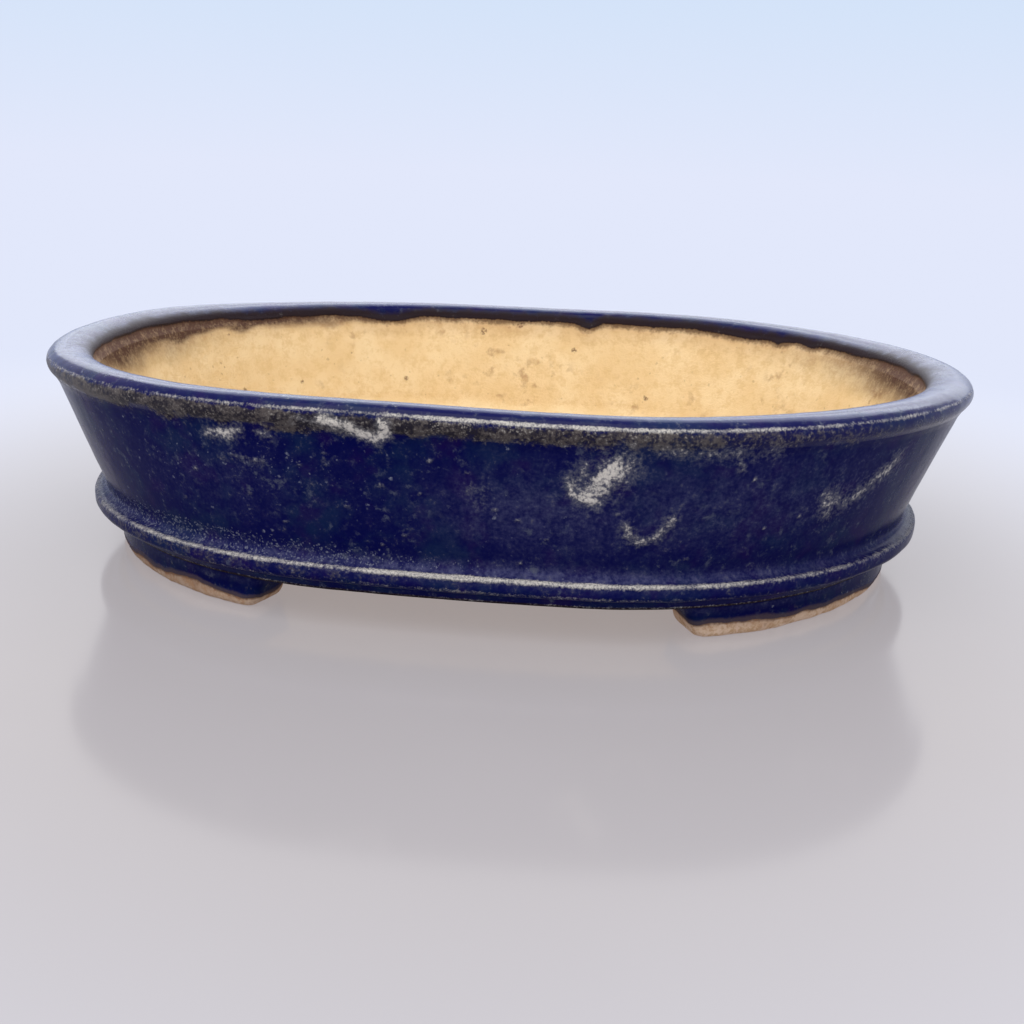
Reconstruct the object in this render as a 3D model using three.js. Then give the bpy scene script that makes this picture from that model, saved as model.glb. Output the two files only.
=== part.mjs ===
// A small oval bonsai pot of glazed stoneware, in millimetres, standing on Z = 0 with +Z up.
// X runs along the pot and -Y is its front. The fired pot is one rigid body. It is made here from
// the elements that a potter forms and lutes together: a floor slab with drain holes, a flared
// wall, a rolled lip, a bead round the waist, a base ring and four low feet.
import * as THREE from "three";

// The oval plan, at the widest line of the lip. It has four arcs: two ends and two long sides.
const LENGTH = 160;
const WIDTH = 128;
const SIDE_RADIUS = 290;
// The ends lean out more than the sides, so every inset is larger there by this factor.
const END_LEAN = 1.4;

// Heights, stacked from the ground up.
const HEIGHT = 34;
const FOOT_HEIGHT = 5.1;
const BASE_RING_HEIGHT = 1.8;
const FLOOR_THICKNESS = 4.1;
const LIP_HEIGHT = 4;

// Insets from the widest line, as they are along the sides.
const WALL_TOP_INSET = 0.9;
const WALL_FOOT_INSET = 6.1;
const BEAD_INSET = 4.5;
const BASE_RING_INSET = 6;
const BASE_RING_LEAN = 0.8;
const FOOT_INSET = 7.7;

// Thicknesses, measured inwards.
const WALL_THICKNESS = 5.1;
const FOOT_DEPTH = 8.5;
// The base ring reaches this far in past the feet.
const BASE_RING_MARGIN = 0.3;

// The lip: a round nose outside, a crown, and a softer fall to the inside.
const LIP_WIDTH = 5.4;
const LIP_NOSE_RADIUS = 2.2;
const LIP_NOSE_BOTTOM_ANGLE = -50;
const LIP_INNER_DROP = 2.3;

// The bead: a hollow above its edge, an upright face and a rounded underside.
const BEAD_HOLLOW_RADIUS = 1.35;
const BEAD_EDGE_DROP = 1.4;
const BEAD_EDGE_RADIUS = 0.35;
const BEAD_UNDER_RADIUS = 1.2;

const FLOOR_FILLET = 3;
const FILLET_TOE = 0.4;
const BASE_RING_EDGE_RADIUS = 0.5;

const DRAIN_HOLES = 2;
const DRAIN_HOLE_DIAMETER = 16;
const DRAIN_HOLE_SPACING = 60;

// The feet, by the angles of the gaps between them as seen from the pot's centre.
const END_GAP_ANGLE = 10;
const LONG_GAP_ANGLE = 61;
// The feet were set by hand: the gaps in the long sides are centred this far towards +X.
const LONG_GAP_SHIFT = 2;
const FOOT_END_SLOPE = 1.8;
const FOOT_SOLE_RADIUS = 1.5;

// How finely round stretches are divided.
const OVAL_STEPS = 64;
const ARC_STEPS = 4;
const DRAIN_HOLE_STEPS = 32;
const FOOT_STEPS = 10;
// A turn, in radians, small enough to give the oval's direction.
const TINY_TURN = 1e-4;

// Levels that two pieces share.
const BASE_LEVEL = FOOT_HEIGHT;
const FLOOR_LEVEL = BASE_LEVEL + BASE_RING_HEIGHT;
const WALL_LEVEL = FLOOR_LEVEL + FLOOR_THICKNESS;
const LIP_LEVEL = HEIGHT - LIP_HEIGHT;

const degrees = THREE.MathUtils.degToRad;

// The point of the oval, inset from the widest line, that lies at an angle from +X.
function ovalPoint(angle, inset) {
  const a = LENGTH / 2 - inset * END_LEAN;
  const b = WIDTH / 2 - inset;
  const side = SIDE_RADIUS - inset;
  const end = (2 * side * b - a * a - b * b) / (2 * (side - a));
  const endCentre = a - end;
  const sideCentre = side - b;
  const cos = Math.abs(Math.cos(angle));
  const sin = Math.abs(Math.sin(angle));
  const meeting = Math.atan2(sideCentre, endCentre);
  const meetingX = endCentre + end * Math.cos(meeting);
  const meetingY = end * Math.sin(meeting);
  const onEnd = sin * meetingX <= cos * meetingY;
  const reach = onEnd
    ? endCentre * cos + Math.sqrt(end ** 2 - (endCentre * sin) ** 2)
    : -sideCentre * sin + Math.sqrt(side ** 2 - (sideCentre * cos) ** 2);
  return new THREE.Vector2(reach * Math.cos(angle), reach * Math.sin(angle));
}

// The level direction that points straight into the pot from the oval's line at an angle.
function ovalInwards(angle, inset) {
  const before = ovalPoint(angle - TINY_TURN, inset);
  const along = ovalPoint(angle + TINY_TURN, inset).sub(before).normalize();
  return new THREE.Vector2(-along.y, along.x);
}

// Points [inset, height] of an arc, from one angle to another in degrees. 0 points inwards, 90 up.
function arc(inset, height, radius, from, to, steps = ARC_STEPS) {
  const points = [];
  for (let i = 0; i <= steps; i++) {
    const angle = degrees(THREE.MathUtils.lerp(from, to, i / steps));
    points.push([inset + radius * Math.cos(angle), height + radius * Math.sin(angle)]);
  }
  return points;
}

// A hoop round the oval: a lathed ring whose columns are moved to the oval. Its closed section
// is given as [inset, height] points that go in along the bottom and back out over the top.
function hoop(section) {
  const closed = [...section, section[0]].reverse();
  const points = closed.map(([inset, height]) => new THREE.Vector2(WIDTH / 2 - inset, height));
  const geometry = new THREE.LatheGeometry(points, OVAL_STEPS);
  const position = geometry.getAttribute("position");
  for (let i = 0; i < position.count; i++) {
    const column = Math.floor(i / closed.length) % OVAL_STEPS;
    const [inset, height] = closed[i % closed.length];
    const point = ovalPoint((column / OVAL_STEPS) * 2 * Math.PI, inset);
    position.setXYZ(i, point.x, point.y, height);
  }
  return geometry;
}

// The wall's outer face leans out in a straight line from the floor slab to the lip.
function wallInset(height) {
  const share = (height - WALL_LEVEL) / (LIP_LEVEL - WALL_LEVEL);
  return THREE.MathUtils.lerp(WALL_FOOT_INSET, WALL_TOP_INSET, share);
}

function floorSlab() {
  const outline = new THREE.Shape();
  for (let i = 0; i < OVAL_STEPS; i++) {
    const point = ovalPoint((i / OVAL_STEPS) * 2 * Math.PI, WALL_FOOT_INSET);
    if (i === 0) outline.moveTo(point.x, point.y);
    else outline.lineTo(point.x, point.y);
  }
  outline.closePath();
  for (let i = 0; i < DRAIN_HOLES; i++) {
    const x = (i - (DRAIN_HOLES - 1) / 2) * DRAIN_HOLE_SPACING;
    const hole = new THREE.Path();
    hole.absarc(x, 0, DRAIN_HOLE_DIAMETER / 2, 0, 2 * Math.PI, true);
    outline.holes.push(hole);
  }
  const geometry = new THREE.ExtrudeGeometry(outline, {
    depth: FLOOR_THICKNESS,
    bevelEnabled: false,
    curveSegments: DRAIN_HOLE_STEPS,
  });
  const position = geometry.getAttribute("position");
  for (let i = 0; i < position.count; i++)
    position.setZ(i, position.getZ(i) > FLOOR_THICKNESS / 2 ? WALL_LEVEL : FLOOR_LEVEL);
  return geometry;
}

// The wall stands on the floor slab and runs into it with a fillet inside the pot.
function wall() {
  const filletTop = WALL_LEVEL + FLOOR_FILLET + FILLET_TOE;
  const filletInset = wallInset(filletTop) + WALL_THICKNESS;
  return hoop([
    [WALL_FOOT_INSET, WALL_LEVEL],
    [filletInset + FLOOR_FILLET, WALL_LEVEL],
    ...arc(filletInset + FLOOR_FILLET, filletTop, FLOOR_FILLET, 270, 180),
    [WALL_TOP_INSET + WALL_THICKNESS, LIP_LEVEL],
    [WALL_TOP_INSET, LIP_LEVEL],
  ]);
}

function lip() {
  const innerEdge = HEIGHT - LIP_INNER_DROP;
  const crown = new THREE.QuadraticBezierCurve(
    new THREE.Vector2(LIP_NOSE_RADIUS, HEIGHT),
    new THREE.Vector2(LIP_WIDTH, HEIGHT),
    new THREE.Vector2(LIP_WIDTH, innerEdge),
  );
  return hoop([
    [WALL_TOP_INSET, LIP_LEVEL],
    [WALL_TOP_INSET + WALL_THICKNESS, LIP_LEVEL],
    ...crown.getPoints(ARC_STEPS + 1).map((point) => [point.x, point.y]).reverse(),
    ...arc(LIP_NOSE_RADIUS, HEIGHT - LIP_NOSE_RADIUS, LIP_NOSE_RADIUS,
      90, 180 - LIP_NOSE_BOTTOM_ANGLE, 2 * ARC_STEPS).slice(1),
  ]);
}

// The bead is a strip laid round the edge of the floor slab, just under the wall.
function waistBead() {
  const edge = WALL_LEVEL - BEAD_EDGE_DROP;
  const top = WALL_FOOT_INSET - BEAD_HOLLOW_RADIUS;
  return hoop([
    [WALL_FOOT_INSET, FLOOR_LEVEL],
    [WALL_FOOT_INSET, WALL_LEVEL],
    ...arc(top, WALL_LEVEL, BEAD_HOLLOW_RADIUS, -10, -80),
    ...arc(BEAD_INSET + BEAD_EDGE_RADIUS, edge - BEAD_EDGE_RADIUS, BEAD_EDGE_RADIUS, 90, 180, 2),
    ...arc(BEAD_INSET + BEAD_UNDER_RADIUS, FLOOR_LEVEL + BEAD_UNDER_RADIUS, BEAD_UNDER_RADIUS, 180, 265),
  ]);
}

// The ring under the bead. The feet hang from it, and it frames the recess under the floor.
function baseRing() {
  const inner = FOOT_INSET + FOOT_DEPTH + BASE_RING_MARGIN;
  const lower = BASE_RING_INSET + BASE_RING_LEAN;
  return hoop([
    [inner, BASE_LEVEL],
    [inner, FLOOR_LEVEL],
    [BASE_RING_INSET, FLOOR_LEVEL],
    ...arc(lower + BASE_RING_EDGE_RADIUS, BASE_LEVEL + BASE_RING_EDGE_RADIUS, BASE_RING_EDGE_RADIUS, 180, 270),
  ]);
}

// A foot follows the oval between two angles in degrees, and its depth runs square to the oval.
// Its ends slope in towards its sole.
function foot(from, to) {
  const rounding = (height) => {
    const below = Math.max(FOOT_SOLE_RADIUS - height, 0);
    return FOOT_SOLE_RADIUS - Math.sqrt(FOOT_SOLE_RADIUS ** 2 - below ** 2);
  };
  const heights = arc(0, FOOT_SOLE_RADIUS, FOOT_SOLE_RADIUS, -90, 0).map(([, height]) => height);
  heights.push(FOOT_HEIGHT);
  const rows = heights.length - 1;
  const geometry = new THREE.BoxGeometry(1, 1, 1, FOOT_STEPS, 2, rows);
  const position = geometry.getAttribute("position");
  for (let i = 0; i < position.count; i++) {
    const along = position.getX(i) + 0.5;
    const inwards = position.getY(i) + 0.5;
    const height = heights[Math.round((position.getZ(i) + 0.5) * rows)];
    const round = rounding(height);
    const slope = (FOOT_END_SLOPE * (1 - height / FOOT_HEIGHT) + round) / (WIDTH / 2);
    const angle = THREE.MathUtils.lerp(degrees(from) + slope, degrees(to) - slope, along);
    const depth = THREE.MathUtils.lerp(round, FOOT_DEPTH - round, inwards);
    const point = ovalPoint(angle, FOOT_INSET).addScaledVector(ovalInwards(angle, FOOT_INSET), depth);
    position.setXYZ(i, point.x, point.y, height);
  }
  return geometry;
}

const glaze = () => new THREE.MeshStandardMaterial({ color: 0x14164a, roughness: 0.2, metalness: 0 });
const clay = () => new THREE.MeshStandardMaterial({ color: 0xcfa56a, roughness: 0.9, metalness: 0 });

const pot = new THREE.Group();

function add(name, geometry, material) {
  const mesh = new THREE.Mesh(geometry, material);
  mesh.name = name;
  pot.add(mesh);
}

add("floor_slab", floorSlab(), clay());
add("wall", wall(), glaze());
add("lip", lip(), glaze());
add("waist_bead", waistBead(), glaze());
add("base_ring", baseRing(), glaze());

// Each foot runs from an end gap to a long gap, turning by the right-hand rule about +Z.
const endGap = END_GAP_ANGLE / 2;
const right = 90 - LONG_GAP_ANGLE / 2 - LONG_GAP_SHIFT;
const left = 90 + LONG_GAP_ANGLE / 2 - LONG_GAP_SHIFT;
add("foot_back_right", foot(endGap, right), glaze());
add("foot_back_left", foot(left, 180 - endGap), glaze());
add("foot_front_left", foot(180 + endGap, 360 - left), glaze());
add("foot_front_right", foot(360 - right, 360 - endGap), glaze());

export default pot;
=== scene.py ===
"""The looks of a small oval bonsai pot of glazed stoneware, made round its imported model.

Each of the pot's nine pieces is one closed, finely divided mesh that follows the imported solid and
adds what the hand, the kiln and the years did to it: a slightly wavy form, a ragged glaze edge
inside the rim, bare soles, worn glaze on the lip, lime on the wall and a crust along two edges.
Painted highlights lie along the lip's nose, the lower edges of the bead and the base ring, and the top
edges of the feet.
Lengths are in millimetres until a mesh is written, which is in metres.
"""

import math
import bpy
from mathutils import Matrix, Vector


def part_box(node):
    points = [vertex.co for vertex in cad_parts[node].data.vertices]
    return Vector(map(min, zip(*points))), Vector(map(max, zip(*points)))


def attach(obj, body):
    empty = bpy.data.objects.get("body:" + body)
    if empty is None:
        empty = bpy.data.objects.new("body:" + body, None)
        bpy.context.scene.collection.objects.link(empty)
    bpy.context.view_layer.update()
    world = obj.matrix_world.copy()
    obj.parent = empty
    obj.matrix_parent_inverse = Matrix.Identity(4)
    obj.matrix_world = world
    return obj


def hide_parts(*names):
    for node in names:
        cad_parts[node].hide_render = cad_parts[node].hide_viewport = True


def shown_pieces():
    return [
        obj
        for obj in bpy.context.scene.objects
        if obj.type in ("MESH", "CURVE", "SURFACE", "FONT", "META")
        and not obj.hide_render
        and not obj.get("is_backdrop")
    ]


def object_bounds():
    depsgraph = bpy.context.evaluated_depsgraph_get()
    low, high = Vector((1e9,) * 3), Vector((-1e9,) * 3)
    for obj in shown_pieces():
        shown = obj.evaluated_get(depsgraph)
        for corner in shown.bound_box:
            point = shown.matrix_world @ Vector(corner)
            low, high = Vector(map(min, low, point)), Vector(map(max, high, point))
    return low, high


bl_info = {
    "name": "Glazed Oval Bonsai Pot",
    "version": (1, 0, 0),
    "blender": (4, 5, 0),
    "location": "View3D > Sidebar > Pot",
    "description": "Builds an oval glazed stoneware pot with an unglazed inside, on a pale floor",
    "category": "Add Mesh",
}

import bpy
import numpy as np
from bpy.props import FloatProperty, FloatVectorProperty, IntProperty, PointerProperty
from mathutils import Matrix, Vector, geometry

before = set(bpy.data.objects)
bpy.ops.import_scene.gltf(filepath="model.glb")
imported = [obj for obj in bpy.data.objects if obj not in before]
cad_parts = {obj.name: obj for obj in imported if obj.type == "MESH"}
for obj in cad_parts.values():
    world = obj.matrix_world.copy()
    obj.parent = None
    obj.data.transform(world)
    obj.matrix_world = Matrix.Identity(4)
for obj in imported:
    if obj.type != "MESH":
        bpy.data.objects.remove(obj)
CAD_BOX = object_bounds()

MM = 0.001


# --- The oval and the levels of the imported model, in millimetres -------------------------------

def level(node, top=False):
    """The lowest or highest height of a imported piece."""
    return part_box(node)[1 if top else 0].z / MM


LENGTH = (CAD_BOX[1].x - CAD_BOX[0].x) / MM
WIDTH = (CAD_BOX[1].y - CAD_BOX[0].y) / MM
BASE_LEVEL = level("base_ring")
FLOOR_LEVEL = level("floor_slab")
WALL_LEVEL = level("wall")
LIP_LEVEL = level("lip")
TOP_LEVEL = level("lip", top=True)

SIDE_RADIUS = 290.0
END_LEAN = 1.4

WALL_TOP_INSET = 0.9
WALL_FOOT_INSET = 6.1
WALL_THICKNESS = 5.1
NOSE_RADIUS = 2.2
LIP_WIDTH = 5.4
LIP_INNER_DROP = 2.3
BEAD_INSET = 4.5
BEAD_HOLLOW_RADIUS = 1.35
BEAD_EDGE_DROP = 1.4
BEAD_EDGE_RADIUS = 0.35
BEAD_UNDER_RADIUS = 1.2
RING_INSET = 6.0
RING_LEAN = 0.8
RING_INNER_INSET = 16.5
RING_EDGE_RADIUS = 0.5
FLOOR_FILLET = 3.0
FILLET_TOE = 0.4
TOE_REACH = 2.6
TOE_SINK = 0.45

DRAIN_HOLE_RADIUS = 8.0
DRAIN_HOLE_X = (-30.0, 30.0)
DRAIN_EDGE_RADIUS = 0.9

# Hidden faces further in than this are bare clay.
GLAZED_INSET = 8.0
FOOT_INSET = 7.7
FOOT_DEPTH = 8.5
FOOT_END_SLOPE = 1.8
FOOT_SOLE_RADIUS = 1.5
FOOT_CORNER_RADIUS = 1.6
# How far a foot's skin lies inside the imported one, so that its coat doesn't thicken it.
FOOT_TUCK = 0.08
# Each foot's first and last angle, in degrees, turning from +X towards +Y.
FEET = {
    "foot_back_right": (5.0, 57.5),
    "foot_back_left": (118.5, 175.0),
    "foot_front_left": (185.0, 241.5),
    "foot_front_right": (302.5, 355.0),
}

# How finely the pieces are divided: points round the pot, and spacings along its section.
HOOP_STEPS = 820
FINE_STEP = 0.05
LIP_STEP = 0.16
BEAD_STEP = 0.14
SKIN_STEP = 0.27
INNER_STEP = 0.62
SHARP_ANGLE = math.radians(55)

# How far glaze softens the outer corners, and a wet finger the inner ones.
OUTER_SOFTENING = 0.17
INNER_SOFTENING = 0.3

# The coat mark: above 0 there is glaze, below 0 bare clay, and these are well inside either.
FULL_COAT = 6.0
BARE_COAT = -6.0


def oval_reach(angle, inset):
    """How far the outline lies from the pot's middle, at polar angles and insets from the lip."""
    a = LENGTH / 2 - inset * END_LEAN
    b = WIDTH / 2 - inset
    side = SIDE_RADIUS - inset
    end = (2 * side * b - a * a - b * b) / (2 * (side - a))
    end_centre = a - end
    side_centre = side - b
    cos = np.abs(np.cos(angle))
    sin = np.abs(np.sin(angle))
    meeting = np.arctan2(side_centre, end_centre)
    on_end = sin * (end_centre + end * np.cos(meeting)) <= cos * end * np.sin(meeting)
    by_end = end_centre * cos + np.sqrt(np.maximum(end ** 2 - (end_centre * sin) ** 2, 0))
    by_side = -side_centre * sin + np.sqrt(side ** 2 - (side_centre * cos) ** 2)
    return np.where(on_end, by_end, by_side)


def oval_point(angle, inset, height):
    """Points on the oval."""
    reach = oval_reach(angle, inset)
    return np.stack(np.broadcast_arrays(reach * np.cos(angle), reach * np.sin(angle), height), -1)


def oval_outward(angle, inset):
    """The level direction that points straight out of the oval at each angle."""
    small = 1e-4
    reach = oval_reach(angle, inset)
    growth = (oval_reach(angle + small, inset) - oval_reach(angle - small, inset)) / (2 * small)
    x = growth * np.sin(angle) + reach * np.cos(angle)
    y = -growth * np.cos(angle) + reach * np.sin(angle)
    size = np.hypot(x, y)
    return np.stack([x / size, y / size, np.zeros_like(x)], -1)


# --- Sections of the skin: [inset, height] lines -------------------------------------------------

def arc(inset, height, radius, start, stop):
    """Points of an arc. 0 degrees points inwards and 90 up."""
    angle = np.radians(np.linspace(start, stop, 24))
    return [(inset + radius * c, height + radius * s) for c, s in zip(np.cos(angle), np.sin(angle))]


def bend(start, control, stop):
    """Points of a bend from start to stop that leaves and arrives towards its control point."""
    share = np.linspace(0, 1, 16)[:, None]
    start, control, stop = map(np.asarray, (start, control, stop))
    line = (1 - share) ** 2 * start + 2 * share * (1 - share) * control + share ** 2 * stop
    return [tuple(point) for point in line]


def spaced(line, step):
    """The same line with points at an even spacing."""
    line = np.asarray(line, float)
    run = np.concatenate([[0], np.cumsum(np.hypot(*np.diff(line, axis=0).T))])
    keep = np.concatenate([[True], np.diff(run) > 1e-9])
    count = max(2, int(round(run[-1] / step)) + 1)
    at = np.linspace(0, run[-1], count)
    return np.stack([np.interp(at, run[keep], line[keep, i]) for i in (0, 1)], -1)


def softened(line, radius):
    """An evenly spaced line with its corners rounded, as glaze and a wet finger round them."""
    reach = int(3 * radius / FINE_STEP)
    weight = np.exp(-0.5 * (np.arange(-reach, reach + 1) * FINE_STEP / radius) ** 2)
    weight /= weight.sum()
    first = 2 * line[0] - line[reach:0:-1]
    last = 2 * line[-1] - line[-2:-reach - 2:-1]
    longer = np.concatenate([first, line, last])
    return np.stack([np.convolve(longer[:, i], weight, "valid") for i in (0, 1)], -1)


def wall_inset(height):
    """The inset of the wall's outer face."""
    share = (height - WALL_LEVEL) / (LIP_LEVEL - WALL_LEVEL)
    return WALL_FOOT_INSET + (WALL_TOP_INSET - WALL_FOOT_INSET) * share


def outer_skin():
    """The outside, from the crown of the lip down to the lower edge of the base ring."""
    edge = WALL_LEVEL - BEAD_EDGE_DROP
    crease = LIP_LEVEL - 1.0
    flare = WALL_LEVEL + 1.7
    under = BEAD_INSET + BEAD_UNDER_RADIUS
    lower = RING_INSET + RING_LEAN
    nose = TOP_LEVEL - NOSE_RADIUS
    line = (
        arc(NOSE_RADIUS, nose, NOSE_RADIUS, 90, 222)
        + [(wall_inset(crease), crease), (wall_inset(flare), flare)]
        + bend((wall_inset(flare), flare), (WALL_FOOT_INSET, WALL_LEVEL + 0.2),
               (WALL_FOOT_INSET - 0.12, WALL_LEVEL - 0.45))
        + arc(WALL_FOOT_INSET - BEAD_HOLLOW_RADIUS, WALL_LEVEL, BEAD_HOLLOW_RADIUS, -35, -80)
        + arc(BEAD_INSET + BEAD_EDGE_RADIUS, edge - BEAD_EDGE_RADIUS, BEAD_EDGE_RADIUS, 90, 180)
        + arc(under, FLOOR_LEVEL + BEAD_UNDER_RADIUS, BEAD_UNDER_RADIUS, 180, 265)
        + [(RING_INSET + 0.1, FLOOR_LEVEL), (RING_INSET - 0.02, FLOOR_LEVEL - 0.12)]
        + arc(lower + RING_EDGE_RADIUS, BASE_LEVEL + RING_EDGE_RADIUS, RING_EDGE_RADIUS, 180, 270)
    )
    return softened(spaced(line, FINE_STEP), OUTER_SOFTENING)


def inner_skin():
    """The inside, from the crown of the lip down to the toe of the fillet on the floor."""
    fillet_top = WALL_LEVEL + FLOOR_FILLET + FILLET_TOE
    fillet_inset = wall_inset(fillet_top) + WALL_THICKNESS
    toe = fillet_inset + FLOOR_FILLET + TOE_REACH
    line = (
        bend((NOSE_RADIUS, TOP_LEVEL), (LIP_WIDTH, TOP_LEVEL),
             (LIP_WIDTH, TOP_LEVEL - LIP_INNER_DROP))
        + [(WALL_TOP_INSET + WALL_THICKNESS, LIP_LEVEL)]
        + arc(fillet_inset + FLOOR_FILLET, fillet_top, FLOOR_FILLET, 180, 250)
        + bend((fillet_inset + FLOOR_FILLET - 1.0, fillet_top - 2.82),
               (fillet_inset + FLOOR_FILLET + 0.6, WALL_LEVEL + 0.05), (toe, WALL_LEVEL - TOE_SINK))
    )
    return softened(spaced(line, FINE_STEP), INNER_SOFTENING)


def faced(line, inside):
    """A skin line with the direction, in the section, that points out of the clay."""
    along = np.gradient(line, axis=0)
    along /= np.hypot(*along.T)[:, None]
    out = np.stack([along[:, 1], -along[:, 0]], -1)
    return np.concatenate([line, -out if inside else out], 1)


def between(skin, top, bottom, step):
    """The part of a skin between two heights, at a coarser spacing, from the top down."""
    below_top = np.argmax(skin[:, 1] <= top + 1e-6) if top < skin[0, 1] else 0
    below_bottom = np.argmax(skin[:, 1] <= bottom + 1e-6) if bottom > skin[-1, 1] else len(skin) - 1
    count = max(2, int(round((below_bottom - below_top) * FINE_STEP / step)) + 1)
    rows = np.linspace(below_top, below_bottom, count)
    return np.stack([np.interp(rows, np.arange(len(skin)), skin[:, i]) for i in range(4)], -1)


def joint(start, stop, steps=3):
    """A hidden face between two skins: points between start and stop, without them."""
    share = np.linspace(0, 1, steps + 2)[1:-1, None]
    line = np.asarray(start[:2]) * (1 - share) + np.asarray(stop[:2]) * share
    return np.concatenate([line, np.zeros_like(line)], 1)


OUTSIDE = faced(outer_skin(), False)
INSIDE = faced(inner_skin(), True)


# --- Random but repeatable surfaces -------------------------------------------------------------

def noise(points, size, seed):
    """Smooth values from about -1 to 1 at points, with lumps about as large as size. Each use has
    a seed of its own, so that no two patterns fall together."""
    rng = np.random.default_rng(seed)
    slopes = rng.normal(size=(256, 3))
    slopes /= np.linalg.norm(slopes, axis=1)[:, None]
    order = rng.permutation(256)
    place = points / size
    cell = np.floor(place).astype(int)
    local = place - cell
    ease = local ** 3 * (local * (local * 6 - 15) + 10)
    total = np.zeros(points.shape[:-1])
    for corner in np.ndindex(2, 2, 2):
        key = np.zeros(points.shape[:-1], int)
        weight = np.ones(points.shape[:-1])
        for axis in range(3):
            key = order[(key + cell[..., axis] + corner[axis]) & 255]
            weight = weight * (ease[..., axis] if corner[axis] else 1 - ease[..., axis])
        total += weight * (slopes[key] * (local - corner)).sum(-1)
    return total * 1.8


def layered(points, size, seed, layers=3):
    """Noise of several sizes, each half as large and half as strong as the last."""
    return sum(noise(points, size / 2 ** i, seed + i) / 2 ** i for i in range(layers))


def bump(value, centre, width):
    """1 at the centre, falling smoothly to 0 over about the width."""
    return np.exp(-0.5 * ((value - centre) / width) ** 2)


def rise(value, start, stop):
    """0 before start, 1 after stop, smooth in between."""
    share = np.clip((value - start) / (stop - start), 0, 1)
    return share * share * (3 - 2 * share)


def turn_from(angle, centre):
    """The signed angle from a direction given in degrees, in degrees."""
    return (np.degrees(angle) - centre + 180) % 360 - 180


def facing(angle, centre, width):
    """1 in a direction given in degrees, falling smoothly to 0 over about the width."""
    return bump(turn_from(angle, centre), 0, width)


def hand_warp(points, shape):
    """Moves points as the potter's hands and the kiln did: the same for every piece."""
    amount = shape.hand_wobble / MM
    seed = shape.seed
    height = points[..., 2:3] / TOP_LEVEL
    flow = points * np.array([1, 1, 0.45])
    shift = np.stack([noise(flow, 62, seed + 10 * axis) for axis in range(3)], -1)
    shift += 0.4 * np.stack([noise(flow, 27, seed + 5 + 10 * axis) for axis in range(3)], -1)
    shift[..., 2:3] *= height
    angle = polar(points)
    left = facing(angle, 187, 24)
    low = 1 - rise(points[..., 2], 9.0, 16.0)
    lean = np.zeros(points.shape)
    right = facing(angle, 12, 16) * rise(points[..., 2], 22.0, 33.0)
    lean[..., 0] = left * (0.42 + 0.3 * low) + 0.55 * right
    lift = 0.6 * facing(angle, 42, 24) + 0.45 * facing(angle, 165, 12)
    lean[..., 2] = lift * rise(points[..., 2], 15.0, 33.0)
    return points + amount * shift + lean


# --- Marks of making and age, by place on the pot -------------------------------------------------

def polar(points):
    """Each point's angle, from 0 to a full turn."""
    return np.arctan2(points[..., 1], points[..., 0]) % (2 * math.pi)


def skin_point(angle, height):
    """The point of the outer skin at an angle in degrees and a height."""
    row = np.argmin(np.abs(OUTSIDE[:, 1] - height))
    return oval_point(math.radians(angle), OUTSIDE[row, 0], height)


def stroke_distance(points, stroke):
    """Each point's distance from a line drawn on the outer skin through (angle, height) pairs."""
    places = [skin_point(angle, height) for angle, height in stroke]
    if len(places) == 1:
        return np.linalg.norm(points - places[0], axis=-1)
    nearest = np.full(points.shape[:-1], np.inf)
    for start, stop in zip(places, places[1:]):
        along = stop - start
        share = np.clip(((points - start) @ along) / (along @ along), 0, 1)
        gap = np.linalg.norm(points - start - share[..., None] * along, axis=-1)
        nearest = np.minimum(nearest, gap)
    return nearest


# Lime left by hard water: a line of (angle, height) places, its half width and its strength.
LIME_STROKES = (
    (((289.9, 27.5), (289.0, 26.2), (287.9, 25.3)), 0.7, 1.0),
    (((285.2, 24.6), (285.5, 23.2), (286.9, 22.3), (288.6, 22.2)), 0.75, 0.85),
    (((290.6, 27.6), (289.4, 25.2), (287.6, 23.6)), 2.1, 0.82),
    (((286.6, 26.4), (285.6, 25.2)), 1.4, 0.6),
    (((291.4, 31.0), (290.8, 28.6)), 0.45, 0.5),
    (((255.2, 31.6), (257.4, 30.9), (259.2, 30.0), (261.2, 29.3), (262.6, 30.0), (262.4, 31.4)),
     0.95, 0.95),
    (((252.6, 31.6), (256.0, 30.8)), 1.0, 0.5),
    (((292.4, 18.6), (292.9, 17.4), (293.6, 16.6)), 0.8, 0.72),
    (((294.0, 16.2), (296.0, 16.6), (297.2, 18.4), (297.6, 19.8)), 0.7, 0.66),
    (((240.2, 28.0), (242.6, 28.3), (244.4, 28.9)), 0.9, 0.75),
    (((246.6, 28.9), (248.4, 28.2)), 0.65, 0.55),
    (((242.6, 25.0), (246.4, 24.4)), 0.55, 0.5),
    (((327.0, 25.4), (324.8, 23.4), (322.0, 21.0)), 1.4, 0.66),
    (((320.4, 20.2), (317.2, 21.6), (318.4, 18.8)), 1.5, 0.58),
    (((295.0, 29.8), (302.0, 29.4), (308.0, 29.8)), 1.1, 0.48),
    (((303.0, 30.6), (304.2, 26.9)), 0.45, 0.64),
    (((273.0, 23.2), (275.0, 22.4), (274.2, 20.8)), 0.9, 0.3),
    (((255.0, 27.4), (254.4, 25.0)), 0.5, 0.36),
)
# Single pale specks, by angle and height.
LIME_SPECKS = (
    (260.7, 13.2), (263.9, 15.0), (279.6, 11.9), (282.9, 15.8), (243.6, 19.4), (251.2, 24.6),
    (272.4, 25.2), (236.5, 22.0), (309.4, 17.6), (247.8, 15.4), (300.6, 13.4), (291.2, 20.4),
    (276.0, 20.0), (279.0, 18.6), (268.0, 26.6), (284.0, 30.0), (256.6, 18.8), (238.6, 25.6),
    (240.8, 24.4), (233.0, 16.8), (266.4, 21.6), (261.4, 22.4), (306.0, 25.4), (314.0, 19.0),
)


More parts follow.
